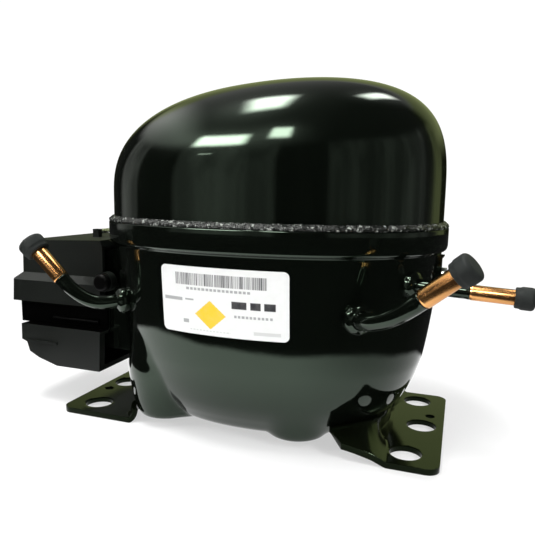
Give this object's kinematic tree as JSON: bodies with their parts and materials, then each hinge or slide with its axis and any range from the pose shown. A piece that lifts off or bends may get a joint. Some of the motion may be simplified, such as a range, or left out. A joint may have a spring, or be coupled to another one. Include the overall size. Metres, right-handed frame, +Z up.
{
  "type": "hermetic reciprocating compressor",
  "caption": "Sealed refrigerant compressor: domed oval steel shell on foot plates, spring-hung motor, crank and piston inside, copper tube stubs and a plastic terminal box outside.",
  "frame": {"origin": "centre of the rectangular foot hole pattern, on the underside of the foot plates", "axes": "+Z up along the crankshaft, +X along the long axis towards the cylinder head, -Y towards the side with the rating label, terminal box on -X"},
  "size_m": [0.274, 0.155, 0.1786],
  "materials": {
    "black_enamel": "glossy black enamel",
    "weld": "painted weld bead",
    "foot_enamel": "glossy dark olive-black enamel",
    "copper": "drawn copper, satin",
    "cap_rubber": "moulded rubber",
    "box_plastic": "charcoal thermoplastic",
    "starter_plastic": "grey thermoset",
    "protector_black": "black phenolic",
    "zinc": "zinc plated steel",
    "glass_bead": "fused glass",
    "pin_steel": "nickel-iron",
    "label": null,
    "spring_steel": "spring steel",
    "nylon": "natural nylon",
    "lamination": "stacked electrical steel",
    "winding": "enamelled copper wire",
    "rotor_steel": "turned electrical steel",
    "cast_alu": "die-cast aluminium",
    "cast_iron": "cast iron, machined faces",
    "gasket": "fibre gasket",
    "machined_steel": "ground steel",
    "reed_steel": "spring steel strip",
    "muffler_plastic": "natural PBT",
    "steel_tube": "drawn steel",
    "lead": "insulated lead",
    "connector": "natural PBT"
  },
  "bodies": {
    "shell": {"lower_shell": "black_enamel", "upper_cover": "black_enamel", "seam_weld": "weld", "foot_right": "foot_enamel", "foot_left": "foot_enamel", "lower_spring_seats": "machined_steel", "suspension_springs": "spring_steel", "tube_collars": "black_enamel", "process_elbow": "black_enamel", "process_stub": "copper", "suction_elbow": "black_enamel", "suction_stub": "copper", "discharge_elbow": "black_enamel", "discharge_stub": "copper", "terminal_cup": "steel_tube", "terminal_glass": "glass_bead", "terminal_pins": "pin_steel", "terminal_fence": "black_enamel", "earth_tab": "zinc", "earth_screw": "zinc", "rating_label": "label", "lead_connector": "connector"},
    "terminal_box": {"terminal_cover": "box_plastic", "cover_screw": "box_plastic"},
    "latch": {"cover_latch": "zinc"},
    "starter": {"ptc_starter": "starter_plastic"},
    "protector": {"overload_protector": "protector_black"},
    "process_plug": {"process_cap": "cap_rubber"},
    "suction_plug": {"suction_cap": "cap_rubber"},
    "discharge_plug": {"discharge_cap": "cap_rubber"},
    "pump": {"cylinder_block": "cast_iron", "stator_core": "lamination", "stator_windings": "winding", "stator_bolts": "machined_steel", "upper_spring_seats": "nylon", "cylinder_gasket": "gasket", "valve_plate": "machined_steel", "head_gasket": "gasket", "cylinder_head": "cast_alu", "head_bolts": "machined_steel", "reed_stop": "machined_steel", "suction_muffler": "muffler_plastic", "discharge_muffler": "steel_tube", "discharge_loop": "steel_tube", "motor_leads": "lead", "thrust_washer": "machined_steel"},
    "crank": {"crankshaft": "cast_iron", "rotor_core": "rotor_steel", "rotor_cage": "cast_alu", "oil_pickup": "steel_tube"},
    "piston_body": {"piston": "machined_steel", "wrist_pin": "machined_steel"},
    "rod": {"connecting_rod": "cast_alu", "crank_pin": "machined_steel"},
    "suction_valve": {"suction_reed": "reed_steel"},
    "discharge_valve": {"discharge_reed": "reed_steel"}
  },
  "joints": [
    {"name": "suspension_bounce", "type": "slide", "parent": "shell", "child": "pump", "axis": [0, 0, 1], "range_m": [-0.0025, 0.002], "stiffness_N_per_m": 16000, "deforming": ["suspension_springs"]},
    {"name": "crank_spin", "type": "hinge", "parent": "pump", "child": "crank", "pos_m": [-0.004, 0.0034, 0.06], "axis": [0, 0, 1], "continuous": true},
    {"name": "piston_slide", "type": "slide", "parent": "pump", "child": "piston_body", "axis": [1, 0, 0], "range_m": [-0.022, 0]},
    {"name": "rod_swing", "type": "hinge", "parent": "piston_body", "child": "rod", "pos_m": [0.053, 0.0034, 0.122], "axis": [0, 0, 1], "range_deg": [-13.8, 13.8]},
    {"name": "suction_reed_flex", "type": "hinge", "parent": "pump", "child": "suction_valve", "pos_m": [0.0702, -0.0016, 0.1135], "axis": [0, 1, 0], "range_deg": [-1, 0]},
    {"name": "discharge_reed_flex", "type": "hinge", "parent": "pump", "child": "discharge_valve", "pos_m": [0.07358, 0.0089, 0.1125], "axis": [0, 1, 0], "range_deg": [0, 5]},
    {"name": "box_pull", "type": "slide", "parent": "shell", "child": "terminal_box", "axis": [-1, 0, 0], "range_m": [0, 0.06]},
    {"name": "latch_swing", "type": "hinge", "parent": "terminal_box", "child": "latch", "pos_m": [-0.1035, 0.002, 0.0979], "axis": [0, 1, 0], "range_deg": [-70, 0]},
    {"name": "starter_pull", "type": "slide", "parent": "shell", "child": "starter", "axis": [-1, 0, 0], "range_m": [0, 0.012]},
    {"name": "protector_pull", "type": "slide", "parent": "shell", "child": "protector", "axis": [-1, 0, 0], "range_m": [0, 0.006]},
    {"name": "process_cap_pull", "type": "slide", "parent": "shell", "child": "process_plug", "axis": [-0.7128, -0.0422, 0.7001], "range_m": [0, 0.012]},
    {"name": "suction_cap_pull", "type": "slide", "parent": "shell", "child": "suction_plug", "axis": [0.7441, -0.2113, 0.6338], "range_m": [0, 0.012]},
    {"name": "discharge_cap_pull", "type": "slide", "parent": "shell", "child": "discharge_plug", "axis": [0.9975, -0.0567, -0.0425], "range_m": [0, 0.012]}
  ]
}
